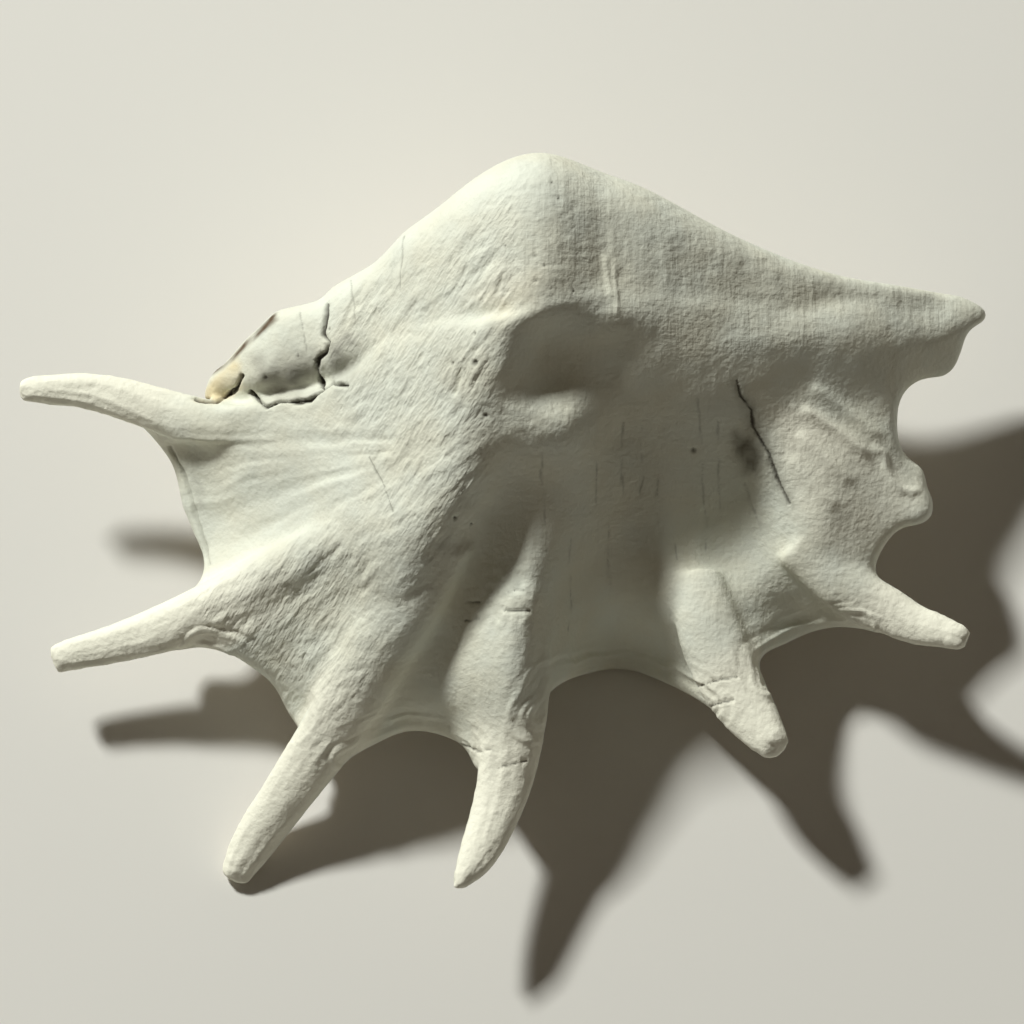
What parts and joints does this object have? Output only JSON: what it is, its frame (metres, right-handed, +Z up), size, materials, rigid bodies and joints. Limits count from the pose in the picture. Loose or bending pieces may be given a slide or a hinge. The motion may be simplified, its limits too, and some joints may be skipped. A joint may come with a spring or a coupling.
{
  "type": "spider conch shell",
  "caption": "Large bleached spider conch shell lying mouth down: humped body whorl, short spire, flared lip with finger spines, siphonal canal and open hollow.",
  "frame": {"origin": "middle of the underside of the shell's box, on the surface it rests on", "axes": "+X from the spire to the siphonal canal, +Y from the lip to the back of the body whorl, +Z up from the floor; the plane of the lip leans 16 degrees towards -Y"},
  "size_m": [0.2986, 0.2252, 0.1249],
  "materials": {
    "bleached_shell": "chalky, sun-bleached calcium carbonate, fine growth lines, matt"
  },
  "bodies": {
    "root": {"shell": "bleached_shell"}
  },
  "joints": []
}
